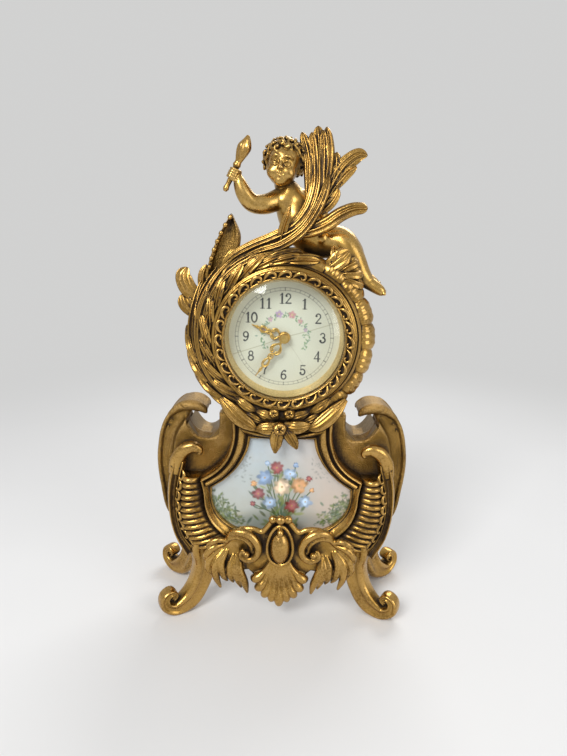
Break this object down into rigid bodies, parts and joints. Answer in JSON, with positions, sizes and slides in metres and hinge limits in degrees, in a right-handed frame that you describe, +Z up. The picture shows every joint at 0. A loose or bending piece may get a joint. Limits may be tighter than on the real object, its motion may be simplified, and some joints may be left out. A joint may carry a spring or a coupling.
{
  "type": "mantel clock",
  "caption": "Gilt rococo mantel clock with a domed porcelain dial in a foliate drum, a painted porcelain plaque, scroll legs, a putto with a torch, and a spring-driven movement.",
  "frame": {"origin": "on the table under the middle of the clock", "axes": "+X to the clock's left as it faces the viewer (the viewer's right), -Y towards the viewer, +Z up"},
  "size_m": [0.1768, 0.0757, 0.3073],
  "materials": {
    "gilt": "antique gilt, dark in the recesses",
    "brass": "polished brass",
    "steel": "plain steel",
    "hand_gilt": "bright gilt",
    "plaque_porcelain": "glazed porcelain, painted",
    "dial_porcelain": "glazed cream porcelain",
    "glass": "clear domed glass"
  },
  "bodies": {
    "clock": {"case_shell": "gilt", "back_panel": "gilt", "back_panel_screws": "steel", "front_frame": "gilt", "plaque": "plaque_porcelain", "plaque_clips": "brass", "left_scroll": "gilt", "right_scroll": "gilt", "left_wing": "gilt", "right_wing": "gilt", "apron_shell": "gilt", "left_apron_scroll": "gilt", "right_apron_scroll": "gilt", "waist_bow": "gilt", "left_front_leg": "gilt", "right_front_leg": "gilt", "left_rear_leg": "gilt", "right_rear_leg": "gilt", "drum": "gilt", "drum_bolts": "steel", "bezel": "gilt", "glass": "glass", "sight_ring": "gilt", "dial": "dial_porcelain", "left_acanthus": "gilt", "right_shells": "gilt", "lower_garland": "gilt", "plume": "gilt", "putto": "gilt", "torch": "gilt", "back_cover": "gilt", "back_cover_screws": "steel", "movement_screws": "steel", "front_plate": "brass", "back_plate": "brass", "pillars": "brass", "pillar_nuts": "steel", "mainspring": "steel", "balance_cock": "brass", "hairspring": "steel"},
    "minute_hand_body": {"centre_arbor": "steel", "minute_hand": "hand_gilt", "hand_nut": "hand_gilt", "set_knob": "brass"},
    "hour_hand_body": {"hour_wheel": "brass", "hour_hand": "hand_gilt"},
    "minute_wheel_body": {"minute_wheel": "brass"},
    "great_wheel_body": {"great_wheel": "brass"},
    "winding_body": {"winding_arbor": "steel", "winding_key": "steel"},
    "click_body": {"click": "steel"},
    "centre_wheel_body": {"centre_wheel": "brass"},
    "third_wheel_body": {"third_wheel": "brass"},
    "fourth_wheel_body": {"fourth_wheel": "brass"},
    "escape_wheel_body": {"escape_wheel": "brass"},
    "lever_body": {"pallet_lever": "steel"},
    "balance_body": {"balance_wheel": "brass"},
    "regulator_body": {"regulator": "steel"}
  },
  "joints": [
    {"name": "minute_hand_turn", "type": "hinge", "parent": "clock", "child": "minute_hand_body", "pos_m": [0, 0, 0.184], "axis": [0, 1, 0], "continuous": true},
    {"name": "hour_hand_turn", "type": "hinge", "parent": "clock", "child": "hour_hand_body", "pos_m": [0, 0, 0.184], "axis": [0, 1, 0], "continuous": true},
    {"name": "minute_wheel_turn", "type": "hinge", "parent": "clock", "child": "minute_wheel_body", "pos_m": [0.012, 0, 0.184], "axis": [0, 1, 0], "continuous": true},
    {"name": "fourth_wheel_turn", "type": "hinge", "parent": "clock", "child": "fourth_wheel_body", "pos_m": [-0.00519, 0, 0.20037], "axis": [0, 1, 0], "continuous": true},
    {"name": "third_wheel_turn", "type": "hinge", "parent": "clock", "child": "third_wheel_body", "pos_m": [0.0081, 0, 0.19803], "axis": [0, 1, 0], "continuous": true},
    {"name": "centre_wheel_turn", "type": "hinge", "parent": "clock", "child": "centre_wheel_body", "pos_m": [0, 0, 0.184], "axis": [0, 1, 0], "continuous": true},
    {"name": "great_wheel_turn", "type": "hinge", "parent": "clock", "child": "great_wheel_body", "pos_m": [-0.00616, 0, 0.16709], "axis": [0, 1, 0], "continuous": true},
    {"name": "escape_wheel_turn", "type": "hinge", "parent": "clock", "child": "escape_wheel_body", "pos_m": [-0.01638, 0, 0.1963], "axis": [0, 1, 0], "continuous": true},
    {"name": "winding_turn", "type": "hinge", "parent": "great_wheel_body", "child": "winding_body", "pos_m": [-0.00616, 0, 0.16709], "axis": [0, 1, 0], "range_deg": [0, 2250]},
    {"name": "click_lift", "type": "hinge", "parent": "great_wheel_body", "child": "click_body", "pos_m": [0.00304, 0, 0.16709], "axis": [0, 1, 0], "range_deg": [0, 12]},
    {"name": "lever_rock", "type": "hinge", "parent": "clock", "child": "lever_body", "pos_m": [-0.02239, 0, 0.19029], "axis": [0, 1, 0], "range_deg": [-8, 8]},
    {"name": "balance_swing", "type": "hinge", "parent": "clock", "child": "balance_body", "pos_m": [-0.02364, 0, 0.18138], "axis": [0, 1, 0], "range_deg": [-150, 150], "stiffness_Nm_per_rad": 0.000006},
    {"name": "regulator_turn", "type": "hinge", "parent": "clock", "child": "regulator_body", "pos_m": [-0.02364, 0, 0.18138], "axis": [0, 1, 0], "range_deg": [-20, 20]}
  ],
  "couplings": [
    {"joint": "hour_hand_turn", "follows": "minute_hand_turn", "ratio": 0.083333},
    {"joint": "minute_wheel_turn", "follows": "minute_hand_turn", "ratio": -0.33333},
    {"joint": "third_wheel_turn", "follows": "fourth_wheel_turn", "ratio": -0.125},
    {"joint": "centre_wheel_turn", "follows": "fourth_wheel_turn", "ratio": 0.015625},
    {"joint": "great_wheel_turn", "follows": "fourth_wheel_turn", "ratio": -0.003125},
    {"joint": "escape_wheel_turn", "follows": "fourth_wheel_turn", "ratio": -7.5}
  ]
}
